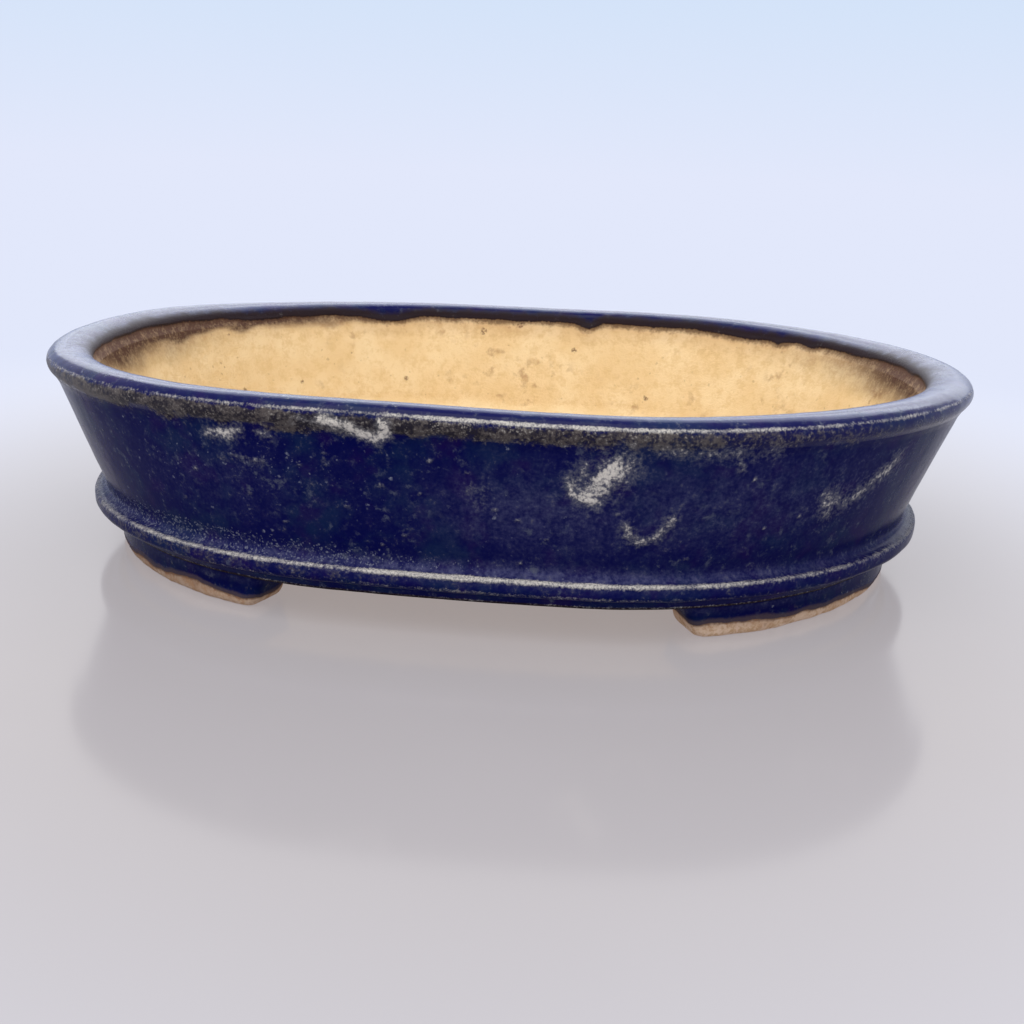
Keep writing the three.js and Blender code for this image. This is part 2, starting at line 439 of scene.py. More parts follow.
def lime(points):
    """How much lime lies on the outer skin, from 0 to about 1."""
    amount = np.zeros(points.shape[:-1])
    for stroke, width, strength in LIME_STROKES:
        gap = stroke_distance(points, stroke)
        amount = np.maximum(amount, strength * np.exp(-(gap / width) ** 1.6 / 1.6))
    for place in LIME_SPECKS:
        gap = stroke_distance(points, (place,))
        amount = np.maximum(amount, 0.75 * bump(gap, 0, 0.27))
    return amount


def wear(points):
    """How far the glaze has lost its gloss, from 0 to 1: round the lip's face and the bead."""
    angle = polar(points)
    height = points[..., 2]
    ragged = 0.8 * noise(points, 3.4, 51) + 0.4 * noise(points, 1.3, 52)
    band = rise(height + ragged, 28.9, 31.0) * (1 - rise(height + 0.4 * ragged, 31.8, 32.9))
    front = (0.2 + 0.8 * facing(angle, 245, 20) + 0.5 * facing(angle, 285, 20)
             + 0.4 * facing(angle, 205, 18))
    face = bump(height, 8.6, 0.9) * (0.1 + 0.25 * facing(angle, 225, 30))
    return np.clip(band * front + face, 0, 1)


# Mist in the glaze: its strength, its direction and spread in degrees, its height and spread.
MISTS = (
    (0.8, 279, 9, 19.5, 4.5), (0.55, 300, 12, 22, 6), (0.4, 322, 13, 23, 6),
    (0.35, 240, 12, 21, 5), (0.3, 150, 40, 21, 6), (0.3, 60, 40, 21, 6),
)


def mist_and_highlight(points):
    """Where a grey-violet mist hangs in the glaze, from 0 to 1.5. On the feet the same mark holds a
    painted highlight along their top edge.
    """
    angle = polar(points)
    height = points[..., 2]
    mist = sum(strength * facing(angle, centre, width) * bump(height, middle, depth)
               for strength, centre, width, middle, depth in MISTS)
    hollow = bump(height, 10.0, 0.9) * (0.5 + 1.1 * facing(angle, 275, 24))
    return np.clip(mist + hollow, 0, 1.5)


def specks(points):
    """How thickly pale pinholes lie in the glaze, from 0 to 1."""
    angle = polar(points)
    height = points[..., 2]
    left = facing(angle, 226, 24)
    on_wall = 0.34 + 0.3 * left * bump(height, 24, 6) + 0.25 * facing(angle, 262, 22)
    low = bump(height, 10.9, 1.2) * (0.2 + 1.8 * facing(angle, 214, 20))
    return np.clip(on_wall + low, 0, 1)


def crust_and_highlight(points, ridge):
    """A pale crust along an edge, with a painted highlight along some edges, where ridge says how near
    a point is to that edge.
    """
    patchy = 0.85 + 0.3 * noise(points, 9, 61) + 0.3 * noise(points, 2.6, 62)
    return np.clip(ridge * patchy, 0, 1)


# Where the glaze stops inside the rim: dips and runs, by angle, width in degrees and drop.
GLAZE_RUNS = (
    (122.0, 6.5, 1.1), (79.0, 2.8, 1.0), (47.0, 6.5, 0.55), (40.0, 1.6, 0.6), (33.0, 2.0, 0.5),
    (150.0, 5.0, 0.35), (185.0, 30.0, -0.5), (4.0, 30.0, -0.5), (215.0, 6.0, 0.6), (262.0, 4.0, 0.9),
    (301.0, 7.0, 0.6), (334.0, 4.0, 0.8),
)
GLAZE_EDGE_HEIGHT = 31.25


def inner_glaze_edge(points):
    """The height at which the glaze stops inside the rim, at each point's angle."""
    angle = polar(points)
    ring = np.stack([60 * np.cos(angle), 60 * np.sin(angle), np.zeros_like(angle)], -1)
    edge = GLAZE_EDGE_HEIGHT + 0.28 * noise(ring, 9, 71) + 0.22 * noise(ring, 3.2, 72)
    for centre, width, drop in GLAZE_RUNS:
        edge = edge - drop * facing(angle, centre, width / 2)
    return edge


def singe(points):
    """How much the bare clay inside was browned by the kiln, from 0 to 1: most at the ends."""
    angle = polar(points)
    ends = 1.2 * (facing(angle, 184, 14) + facing(angle, 6, 14))
    depth = GLAZE_EDGE_HEIGHT - points[..., 2] + 1.2 * noise(points, 6, 75)
    deep = ends * (1 - rise(depth, 0.5, 8.0))
    shallow = 1.3 * facing(angle, 155, 18) * (1 - rise(depth, 0.6, 2.4))
    return np.clip(deep + shallow, 0, 1)


def sole_glaze_edge(points):
    """The height on a foot below which the clay is bare."""
    angle = polar(points)
    swell = (0.2 * facing(angle, 226, 8) - 0.8 * facing(angle, 196, 14)
             - 0.3 * facing(angle, 238, 3) + 0.4 * facing(angle, 309, 9)
             - 0.7 * facing(angle, 346, 14))
    return 1.85 + swell + 0.5 * noise(points, 9, 81) + 0.18 * noise(points, 2.4, 82)


# --- Meshes -----------------------------------------------------------------------------------------

def write_mesh(name, points, faces, marks, material):
    """A mesh object in metres, with its marks as point attributes."""
    mesh = bpy.data.meshes.new(name)
    mesh.from_pydata((points * MM).tolist(), [], faces)
    mesh.shade_smooth()
    mesh.set_sharp_from_angle(angle=SHARP_ANGLE)
    for mark, values in marks.items():
        layer = mesh.attributes.new(mark, "FLOAT", "POINT")
        layer.data.foreach_set("value", np.ascontiguousarray(values, dtype=np.float32))
    mesh.materials.append(material)
    piece = bpy.data.objects.new(name, mesh)
    bpy.context.scene.collection.objects.link(piece)
    return piece


def facing_out(points, faces):
    """Quads as a list, turned round if they face into the clay."""
    corners = points[faces[:, :3]]
    turned = np.einsum("ij,ij->i", corners[:, 0], np.cross(corners[:, 1], corners[:, 2])).sum()
    return (faces[:, ::-1] if turned < 0 else faces).tolist()


def place(piece, node, slot):
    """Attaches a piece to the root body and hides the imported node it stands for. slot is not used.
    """
    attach(piece, "root")
    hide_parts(node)


def ring_faces(rows, columns):
    """Quads of a closed hoop: rows round the pot, columns round its section."""
    row = np.arange(rows)[:, None]
    column = np.arange(columns)[None, :]
    next_row, next_column = (row + 1) % rows, (column + 1) % columns
    corners = [row * columns + column, next_row * columns + column,
               next_row * columns + next_column, row * columns + next_column]
    return np.stack(np.broadcast_arrays(*corners), -1).reshape(-1, 4)


def clay_relief(points, seed):
    """The uneven, gritty surface of bare clay."""
    return 0.07 * noise(points, 7, seed) + 0.045 * noise(points, 2.1, seed + 1) \
        + 0.02 * noise(points, 0.9, seed + 2)


def glaze_relief(points, shape):
    """The gentle ripple of a fired glaze."""
    return shape.glaze_ripple / MM * (noise(points, 6.5, 91) + 0.6 * noise(points, 2.4, 92))


def hoop(name, section, material, shape, bare_below=None, inside_rows=None, ridge=None,
         ridge_span=None):
    """A piece that runs right round the pot. section holds rows of inset, height and the way out
    of the clay; rows of a hidden joint have no way out. inside_rows are those inside the bowl."""
    angle = np.linspace(0, 2 * math.pi, HOOP_STEPS, endpoint=False)[:, None]
    inset, height = section[None, :, 0], section[None, :, 1]
    points = oval_point(angle, inset, height)
    outward = oval_outward(angle, inset)
    way = -section[None, :, 2:3] * outward
    way = way + section[None, :, 3:4] * np.array([0, 0, 1.0])
    inside = np.zeros(len(section), bool)
    if inside_rows is not None:
        inside[inside_rows] = True
    coat = np.full(points.shape[:-1], FULL_COAT)
    if inside_rows is not None:
        signed = points[..., 2] - inner_glaze_edge(points)
        coat = np.where(inside[None, :], signed, coat)
    if bare_below is not None:
        coat = np.minimum(coat, 4 * (points[..., 2] - bare_below))
    hidden = np.abs(section[None, :, 2:4]).sum(-1) == 0
    coat = np.where(hidden & (inset > GLAZED_INSET), BARE_COAT, coat)
    covered = rise(coat, -0.12, 0.3)
    relief = covered * (shape.coat_thickness / MM + glaze_relief(points, shape)) \
        + (1 - covered) * clay_relief(points, 95)
    relief = relief - shape.coat_thickness / MM
    outer = ~inside[None, :] & (np.abs(section[None, :, 2:4]).sum(-1) > 0)
    chalk = np.where(outer, lime(points), 0)
    relief = relief + shape.lime_thickness / MM * chalk * (0.8 + 0.6 * noise(points, 0.8, 97))
    # The crust mark also carries painted highlights along the lip's nose and the lower edges of the
    # bead and the base ring.
    edge = np.zeros(points.shape[:-1])
    if ridge is not None:
        edge = crust_and_highlight(points, np.broadcast_to(ridge[None, :], points.shape[:-1]))
        if ridge_span is not None:
            edge = edge * (0.42 + 0.68 * facing(angle, *ridge_span))
        relief = relief + 0.1 * edge * layered(points, 3.0, 98)
    points = hand_warp(points + relief[..., None] * way, shape)
    flat = {
        "coat": coat, "lime": chalk, "crust_and_highlight": edge,
        "wear": np.where(outer, wear(points), 0), "singe": np.where(outer, 0, singe(points)),
        "mist_and_highlight": np.where(outer, mist_and_highlight(points), 0), "specks": np.where(outer, specks(points), 0),
    }
    marks = {mark: values.ravel() for mark, values in flat.items()}
    points = points.reshape(-1, 3)
    faces = facing_out(points, ring_faces(HOOP_STEPS, len(section)))
    return write_mesh(name, points, faces, marks, material)


def block_lattice(along, across, up):
    """The surface of a block of cells: the lattice places of its points, and its quads."""
    counts = (along, across, up)
    found, places, quads = {}, [], []

    def corner(place):
        if place not in found:
            found[place] = len(places)
            places.append(place)
        return found[place]

    for axis in range(3):
        first, second = [i for i in range(3) if i != axis]
        for end in (0, counts[axis]):
            for i in range(counts[first]):
                for j in range(counts[second]):
                    quad = []
                    for di, dj in ((0, 0), (1, 0), (1, 1), (0, 1)):
                        place = [0, 0, 0]
                        place[axis], place[first], place[second] = end, i + di, j + dj
                        quad.append(corner(tuple(place)))
                    flip = (end == 0) == (axis != 1)
                    quads.append(quad[::-1] if flip else quad)
    return np.array(places), np.array(quads)


def foot(name, span, material, shape):
    """A low foot that follows the oval, with sloping ends and a bare, rounded sole."""
    along, across, up = 170, 20, 16
    lattice, faces = block_lattice(along, across, up)
    share = lattice[:, 0] / along
    depth = 0.5 - 0.5 * np.cos(np.pi * lattice[:, 1] / across)
    low = (lattice[:, 2] / up) ** 1.7
    height = BASE_LEVEL * low
    below = np.maximum(FOOT_SOLE_RADIUS - height, 0)
    sole = 0.6 * (FOOT_SOLE_RADIUS - np.sqrt(FOOT_SOLE_RADIUS ** 2 - below ** 2))
    near_face = np.minimum(depth, 1 - depth) * FOOT_DEPTH
    beyond = np.maximum(FOOT_CORNER_RADIUS - near_face, 0)
    corner = FOOT_CORNER_RADIUS - np.sqrt(FOOT_CORNER_RADIUS ** 2 - beyond ** 2)
    slope = FOOT_END_SLOPE * (1 - height / BASE_LEVEL) + sole + corner
    first, last = np.radians(span[0]), np.radians(span[1])
    pull = slope / (WIDTH / 2)
    angle = first + pull + (last - first - 2 * pull) * share
    inwards = -oval_outward(angle, FOOT_INSET)
    deep = (sole + (FOOT_DEPTH - 2 * sole) * depth)[:, None]
    points = oval_point(angle, FOOT_INSET, height) + deep * inwards
    centre = oval_point(angle, FOOT_INSET, BASE_LEVEL) + FOOT_DEPTH / 2 * inwards
    way = points - centre
    way /= np.maximum(np.linalg.norm(way, axis=1), 1e-9)[:, None]
    top = lattice[:, 2] == up
    coat = 2.5 * (points[:, 2] - sole_glaze_edge(points))
    inner_face = rise(depth, 0.75, 0.95)
    coat = coat * (1 - inner_face) - 2.5 * inner_face
    covered = rise(coat, -0.1, 0.35)
    relief = covered * (glaze_relief(points, shape) + 0.5 * shape.coat_thickness / MM) \
        + (1 - covered) * 1.5 * clay_relief(points, 96)
    relief = np.where(top, 0, relief - FOOT_TUCK)
    points = points + relief[:, None] * way
    points[:, 2] = np.maximum(points[:, 2], 0)
    points = hand_warp(points, shape)
    blank = np.zeros(len(points))
    worn = bump(points[:, 2] + 0.5 * noise(points, 3, 53), 2.7, 0.7)
    marks = {"coat": coat, "lime": blank, "crust_and_highlight": blank, "wear": 0.15 * worn,
             # The soles are darker towards the front left, round 208 degrees.
             "singe": 0.55 * facing(polar(points), 208, 24),
             # The band at 4.4 mm is a painted highlight along the foot's top edge, partly paler thin
             # glaze.
             "mist_and_highlight": 0.7 * bump(points[:, 2], 4.4, 0.35), "specks": blank + 0.4}
    return write_mesh(name, points, facing_out(points, faces), marks, material)


def floor_sheet(step):
    """The flat sheet of the floor slab, with its holes: points, triangles and boundary loops."""
    round_steps, hole_steps = 300, 72
    angle = np.linspace(0, 2 * math.pi, round_steps, endpoint=False)
    loops = [oval_point(angle, WALL_FOOT_INSET, 0.0)[:, :2]]
    angle = np.linspace(0, 2 * math.pi, hole_steps, endpoint=False)
    reach = DRAIN_HOLE_RADIUS + DRAIN_EDGE_RADIUS
    for x in DRAIN_HOLE_X:
        loops.append(np.stack([x + reach * np.cos(angle), reach * np.sin(angle)], -1))
    xs = np.arange(-LENGTH / 2, LENGTH / 2, step)
    ys = np.arange(-WIDTH / 2, WIDTH / 2, step * 0.87)
    inner = np.array([(x + (step / 2 if j % 2 else 0), y) for j, y in enumerate(ys) for x in xs])

    def inside(places, margin):
        reach_there = oval_reach(np.arctan2(places[:, 1], places[:, 0]), WALL_FOOT_INSET)
        keep = np.hypot(places[:, 0], places[:, 1]) < reach_there - margin
        for x in DRAIN_HOLE_X:
            keep &= np.hypot(places[:, 0] - x, places[:, 1]) > reach + margin
        return keep

    inner = inner[inside(inner, 0.6 * step)]
    edges, first = [], 0
    for loop in loops:
        edges += [(first + i, first + (i + 1) % len(loop)) for i in range(len(loop))]
        first += len(loop)
    places = np.concatenate(loops + [inner])
    result = geometry.delaunay_2d_cdt([Vector(p) for p in places], edges, [], 0, 1e-7)
    if len(result[0]) != len(places):
        raise RuntimeError("the floor sheet gained or lost points")
    triangles = np.array(result[2])
    kept = inside(places[triangles].mean(1), 0.0)
    return places, triangles[kept], [len(loop) for loop in loops]


def floor_slab(material, shape):
    """The floor: a clay slab with two round drain holes whose edges were wiped smooth."""
    places, triangles, loops = floor_sheet(1.5)
    count = len(places)
    top = np.column_stack([places, np.full(count, WALL_LEVEL)])
    bottom = np.column_stack([places, np.full(count, FLOOR_LEVEL)])
    top[:, 2] += clay_relief(top, 95) * rise(-np.hypot(top[:, 0] * 0.8, top[:, 1]), -57, -52)
    bottom[:, 2] += 0.5 * clay_relief(bottom, 99) * rise(
        -np.hypot(bottom[:, 0] * 0.8, bottom[:, 1]), -50, -46)
    blocks, faces = [top, bottom], [triangles, triangles[:, ::-1] + count]
    quads, used = [], 2 * count
    first = 0
    for index, length in enumerate(loops):
        ring = np.arange(length)
        if index == 0:
            rows = [first + ring, first + count + ring]
        else:
            x = DRAIN_HOLE_X[index - 1]
            rows = [first + ring]
            start = top[first + ring]
            way = (start[:, :2] - (x, 0)) / (DRAIN_HOLE_RADIUS + DRAIN_EDGE_RADIUS)
            sweep = np.radians(np.linspace(15, 90, 6))
            for angle, upper in [(a, True) for a in sweep] + [(a, False) for a in sweep[::-1]]:
                reach = DRAIN_HOLE_RADIUS + DRAIN_EDGE_RADIUS * (1 - math.sin(angle))
                drop = DRAIN_EDGE_RADIUS * (1 - math.cos(angle))
                height = WALL_LEVEL - drop if upper else FLOOR_LEVEL + drop
                ragged = reach + 0.12 * noise(np.column_stack(
                    [way * 8, np.full(length, x)]), 3, 101)
                row = np.column_stack([x + way[:, 0] * ragged, way[:, 1] * ragged,
                                       np.full(length, height)])
                blocks.append(row)
                rows.append(used + ring)
                used += length
            rows.append(first + count + ring)
        for upper, lower in zip(rows, rows[1:]):
            following = (ring + 1) % length
            quad = np.stack([upper[ring], lower[ring], lower[following], upper[following]], -1)
            quads.append(quad if index == 0 else quad[:, ::-1])
        first += length
    points = hand_warp(np.concatenate(blocks), shape)
    quads = np.concatenate(quads)
    everything = np.concatenate(faces).tolist() + quads.tolist()
    marks = {"coat": np.full(len(points), BARE_COAT)}
    return write_mesh("floor_slab_clay", points, everything, marks, material)


# --- Materials --------------------------------------------------------------------------------------

class Graph:
    """A short way to write the nodes of a material or a world."""

    def __init__(self, owner):
        owner.use_nodes = True
        self.tree = owner.node_tree
        self.tree.nodes.clear()

    def node(self, kind, settings=None, **inputs):
        made = self.tree.nodes.new(kind)
        for key, value in (settings or {}).items():
            setattr(made, key, value)
        for key, value in inputs.items():
            self.feed(made.inputs[key.replace("_", " ")], value)
        return made

    def feed(self, socket, value):
        if isinstance(value, bpy.types.NodeSocket):
            self.tree.links.new(value, socket)
        elif socket.type == "RGBA":
            socket.default_value = (*value, 1.0)
        else:
            socket.default_value = value

    def pair(self, kind, settings, first, second):
        """The result of a node that takes two values."""
        made = self.node(kind, settings)
        self.feed(made.inputs[0], first)
        self.feed(made.inputs[1], second)
        return made.outputs[0]

    def plus(self, first, second):
        return self.pair("ShaderNodeMath", {"operation": "ADD"}, first, second)

    def minus(self, first, second):
        return self.pair("ShaderNodeMath", {"operation": "SUBTRACT"}, first, second)

    def times(self, first, second):
        return self.pair("ShaderNodeMath", {"operation": "MULTIPLY"}, first, second)

    def most(self, first, second):
        return self.pair("ShaderNodeMath", {"operation": "MAXIMUM"}, first, second)

    def mark(self, name):
        return self.node("ShaderNodeAttribute", {"attribute_name": name}).outputs["Fac"]

    def ramp(self, value, low, high, bottom=0.0, top=1.0):
        made = self.node("ShaderNodeMapRange", {"interpolation_type": "SMOOTHSTEP"})
        for socket, given in zip(made.inputs, (value, low, high, bottom, top)):
            self.feed(socket, given)
        return made.outputs[0]

    def mix(self, share, first, second):
        made = self.node("ShaderNodeMix", {"data_type": "RGBA"})
        self.feed(made.inputs[0], share)
        self.feed(made.inputs[6], first)
        self.feed(made.inputs[7], second)
        return made.outputs[2]

    def blend(self, share, first, second):
        made = self.node("ShaderNodeMix")
        self.feed(made.inputs[0], share)
        self.feed(made.inputs[2], first)
        self.feed(made.inputs[3], second)
        return made.outputs[0]

    def cloud(self, place, size, detail=3.0, roughness=0.55):
        made = self.node("ShaderNodeTexNoise", Vector=place, Scale=1 / size, Detail=detail,
                         Roughness=roughness)
        return made.outputs["Fac"]

    def cells(self, place, size):
        made = self.node("ShaderNodeTexVoronoi", Vector=place, Scale=1 / size)
        return made.outputs["Distance"], made.outputs["Color"]


def dots(graph, place, size, share, radius, soft=0.45):
    """Small round dots: one in some cells, in more of them and larger where share is high."""
    gap, tint = graph.cells(place, size)
    pick = graph.node("ShaderNodeSeparateColor", Color=tint)
    chance = graph.minus(share, pick.outputs[0])
    room = graph.times(graph.ramp(chance, 0.0, 0.4), radius)
    room = graph.times(room, graph.ramp(pick.outputs[1], 0.0, 1.0, 0.55, 1.25))
    edge = graph.minus(room, gap)
    return graph.ramp(edge, 0.0, radius * soft)


def scaled(g, vector, factor):
    """A vector times a number."""
    made = g.node("ShaderNodeVectorMath", {"operation": "SCALE"})
    g.feed(made.inputs[0], vector)
    made.inputs["Scale"].default_value = factor
    return made.outputs[0]


def surface(g, shader):
    """Ends a material's nodes with its shader."""
    out = g.node("ShaderNodeOutputMaterial")
    g.feed(out.inputs["Surface"], shader)


def ware(name, colours, sparkle, sole=False):
    """Glaze over clay: glossy cobalt where the coat lies, bare gritty clay where it doesn't."""
    material = bpy.data.materials.new(name)
    g = Graph(material)
    place = scaled(g, g.node("ShaderNodeTexCoord").outputs["Object"], 1 / MM)

    # Grains of four sizes, in millimetres. The swings run from -0.5 to 0.5.
    fine = g.cloud(place, 0.55, 4.0, 0.65)
    medium = g.cloud(place, 2.2, 4.0)
    broad = g.cloud(place, 9.0, 3.0)
    grit = g.cloud(place, 0.26, 2.0)
    fine_swing, medium_swing, grit_swing = (g.minus(grain, 0.5) for grain in (fine, medium, grit))
    jitter = g.node("ShaderNodeTexNoise", Vector=place, Scale=2.6, Detail=2.0)
    strayed = g.pair("ShaderNodeVectorMath", {"operation": "ADD"}, place,
                     scaled(g, jitter.outputs["Color"], 0.55))

    # The coat mark with a ragged edge: below 0 the clay is bare.
    coat = g.plus(g.mark("coat"), g.times(fine_swing, 0.9))
    glazed = g.ramp(coat, -0.06, 0.12)
    thin = g.ramp(g.plus(coat, g.times(medium_swing, 1.2)), 2.5, 1.1)
    stain = g.ramp(g.plus(coat, g.times(medium_swing, 1.6)), -1.3, -0.05)
    wide_stain = g.ramp(g.plus(coat, g.times(medium_swing, 3.5)), -5.0, -0.2)
    singe = g.mark("singe")

    # The glaze itself: deep cobalt, drifting to teal and violet, misted in places; on the feet the
    # mist colour also paints a highlight along their top edge.
    drift = g.ramp(g.plus(broad, g.times(medium_swing, 0.5)), 0.42, 0.72)
    glaze = g.mix(g.times(drift, 0.75), colours.glaze_deep, colours.glaze_teal)
    rosy = g.ramp(g.cloud(place, 5.0, 3.0), 0.52, 0.7)
    glaze = g.mix(g.times(rosy, 0.6), glaze, colours.glaze_violet)
    mist = g.times(g.mark("mist_and_highlight"), g.ramp(g.plus(medium, fine_swing), 0.22, 0.85, 0.15, 1.0))
    glaze = g.mix(g.times(mist, 0.85), glaze, colours.mist_and_highlight)

    # Pale smudges and scratches, and pinholes of several sizes.
    smudge = g.ramp(g.cloud(strayed, 1.5, 5.0, 0.62), 0.55, 0.74)
    smudge = g.times(smudge, g.ramp(g.cloud(place, 7.0, 2.0), 0.38, 0.62, 0.12, 0.7))
    glaze = g.mix(smudge, glaze, colours.smudge)
    share = g.mark("specks")
    pins = dots(g, strayed, 1.6, g.times(share, 0.85), 0.2, 0.9)
    small = dots(g, strayed, 0.8, g.times(share, 0.6), 0.3, 0.9)
    dust = dots(g, strayed, 0.34, g.ramp(share, 0.5, 1.1), 0.6, 0.8)
    pins = g.most(g.times(pins, g.ramp(fine, 0.3, 0.62)),
                  g.times(small, g.ramp(medium, 0.35, 0.65, 0.1, 0.6)))
    pins = g.most(pins, g.times(dust, 0.62))
    glaze = g.mix(g.times(pins, 0.62), glaze, colours.speck)
    thin_tint, thin_share = (colours.thin_sole, 0.6) if sole else (colours.thin_glaze, 0.95)
    glaze = g.mix(g.times(thin, thin_share), glaze, thin_tint)

    # Worn glaze: greyish brown, broken up by light and dark grains.
    worn = g.ramp(g.plus(g.mark("wear"), g.times(g.plus(fine_swing, medium_swing), 0.9)),
                  0.18, 0.85)
    worn = g.times(worn, 0.88)
    coarse = g.plus(medium_swing, g.times(fine_swing, 0.8))
    grains = g.mix(g.ramp(coarse, -0.16, 0.14), colours.worn_dark, colours.worn)
    light = g.ramp(g.plus(grit_swing, fine_swing), 0.1, 0.26)
    grains = g.mix(g.times(light, 0.7), grains, colours.worn_pale)
    glaze = g.mix(worn, glaze, grains)

    # Crust, with painted highlights along some edges, and lime lie on top.
    chalk = g.ramp(g.plus(g.mark("lime"), g.times(
        g.plus(fine_swing, g.times(medium_swing, 0.7)), 1.2)), 0.12, 1.05)
    crust_and_highlight_share = g.ramp(g.plus(g.mark("crust_and_highlight"), g.times(
        g.plus(fine_swing, g.times(grit_swing, 0.4)), 0.9)), 0.2, 0.85)
    crust_and_highlight_tint = g.mix(g.ramp(grit, 0.34, 0.62), colours.crust_and_highlight_dull, colours.crust_and_highlight)
    glaze = g.mix(g.times(crust_and_highlight_share, 0.85), glaze, crust_and_highlight_tint)
    chalk_tint = g.mix(g.ramp(g.plus(chalk, g.times(grit_swing, 0.7)), 0.4, 1.1),
                       colours.lime_dull, colours.lime)
    glaze = g.mix(g.times(chalk, 0.9), glaze, chalk_tint)

    # Bare clay: sandy, mottled, with dark grains and a scorched rim along the glaze.
    tones = (colours.sole, colours.sole_pale) if sole else (colours.clay, colours.clay_pale)
    clay = g.mix(g.ramp(broad, 0.35, 0.68), *tones)
    mottle = g.ramp(g.plus(medium, g.times(fine_swing, 0.4)), 0.42, 0.72)
    clay = g.mix(g.times(mottle, 0.6), clay, colours.clay_dark)
    sand = dots(g, strayed, 1.3, 0.42, 0.24)
    clay = g.mix(g.times(sand, 0.28), clay, colours.clay_grain)
    pits = dots(g, strayed, 4.2, 0.42, 0.2)
    pits = g.times(pits, g.ramp(fine, 0.36, 0.6))
    clay = g.mix(g.times(pits, 0.85), clay, colours.clay_grain)
    soiled = g.times(g.ramp(g.cloud(place, 15.0, 2.0), 0.5, 0.62),
                     g.ramp(g.cloud(strayed, 2.6, 4.0), 0.52, 0.7, 0.0, 0.55))
    clay = g.mix(soiled, clay, colours.scorch_light)
    clay = g.mix(g.times(wide_stain, 0.35), clay, colours.scorch_light)
    burnt = g.times(singe, g.ramp(g.plus(medium, fine_swing), 0.2, 0.6, 0.8, 1.0))
    clay = g.mix(burnt, clay, colours.scorch_dim)
    clay = g.mix(g.times(stain, 0.8), clay, colours.scorch)
    if sole:
        red = g.ramp(g.plus(medium, fine_swing), 0.45, 0.7)
        clay = g.mix(g.times(red, 0.4), clay, colours.sole_red)

    # Gloss: lime, crust with its painted highlights, wear and thin glaze are dry.
    dry = g.most(g.most(chalk, g.times(crust_and_highlight_share, 0.8)),
                 g.most(g.times(worn, 0.6), g.times(thin, 0.7)))
    gloss = g.blend(dry, g.plus(colours.glaze_roughness, g.times(mist, 0.18)), 0.62)
    gloss = g.plus(gloss, g.times(g.plus(fine_swing, smudge), 0.1))
    rough = g.blend(glazed, colours.clay_roughness, gloss)

    # Fine relief, in millimetres.
    clay_height = g.plus(g.times(grit, 0.05), g.times(fine, 0.14))
    clay_height = g.minus(clay_height, g.times(pits, 0.12))
    glaze_height = g.plus(g.times(medium, 0.03), g.times(
        g.times(g.plus(dry, 0.06), g.plus(grit, fine)), 0.09))
    glaze_height = g.minus(glaze_height, g.times(pins, 0.015))
    height = g.blend(glazed, clay_height, glaze_height)
    relief = g.node("ShaderNodeBump", Strength=1.0, Distance=MM, Height=height)

    shader = g.node("ShaderNodeBsdfPrincipled", Roughness=rough, Normal=relief.outputs[0])
    g.feed(shader.inputs["Base Color"], g.mix(glazed, clay, glaze))
    shader.inputs["Specular IOR Level"].default_value = sparkle
    surface(g, shader.outputs[0])
    return material


def floor_finish(stage):
    """The pale stage floor: a glossy translucent sheet that fades into the backdrop."""
    material = bpy.data.materials.new("pale_floor")
    g = Graph(material)
    where = g.node("ShaderNodeTexCoord").outputs["Object"]
    # The fade is quicker to the pot's sides than to its front and back.
    stretched = g.pair("ShaderNodeVectorMath", {"operation": "MULTIPLY"}, where, (1.3, 1.0, 1.0))
    span = g.node("ShaderNodeVectorMath", {"operation": "LENGTH"})
    g.feed(span.inputs[0], stretched)
    far = g.ramp(span.outputs["Value"], 0.08, 0.3)
    near_tint = g.mix(g.ramp(g.cloud(where, 0.05), 0.4, 0.6), stage.floor_near,
                      [c * 1.02 for c in stage.floor_near])
    tint = g.mix(far, near_tint, stage.floor_far)
    shader = g.node("ShaderNodeBsdfPrincipled")
    g.feed(shader.inputs["Base Color"], tint)
    shader.inputs["Roughness"].default_value = 0.13
    shader.inputs["Specular IOR Level"].default_value = 0.5
    g.feed(shader.inputs["Emission Color"], stage.floor_light)
    shader.inputs["Emission Strength"].default_value = 1.0
    glow = g.node("ShaderNodeEmission", Color=stage.horizon)
    fade = g.node("ShaderNodeMixShader")
    ends = (g.ramp(span.outputs["Value"], 0.11, 0.3), shader.outputs[0], glow.outputs[0])
    for socket, given in zip(fade.inputs, ends):
        g.feed(socket, given)
    surface(g, fade.outputs[0])
    return material


# --- Settings a user may change --------------------------------------------------------------------

def colour(name, description, default):
    """A colour setting, in linear light."""
    return FloatVectorProperty(name=name, description=description, default=default,
                               subtype="COLOR", size=3, min=0, max=1)


def length(name, description, default):
    """A length setting, in metres."""
    return FloatProperty(name=name, description=description, default=default, min=0,
                         subtype="DISTANCE", unit="LENGTH", precision=5)


class PotShape(bpy.types.PropertyGroup):
    """Sizes of what the hand and the kiln did to the form."""

    seed: IntProperty(name="Seed", description="Chooses the pot's own unevenness", default=7)
    hand_wobble: length("Hand Wobble", "How far the form wanders from its true oval", 0.00028)
    glaze_ripple: length("Glaze Ripple", "Height of the ripple in the fired glaze", 0.000035)
    coat_thickness: length("Coat Thickness", "How far the glaze stands off the clay", 0.00024)
    lime_thickness: length("Lime Thickness", "How far lime stands off the glaze", 0.00012)


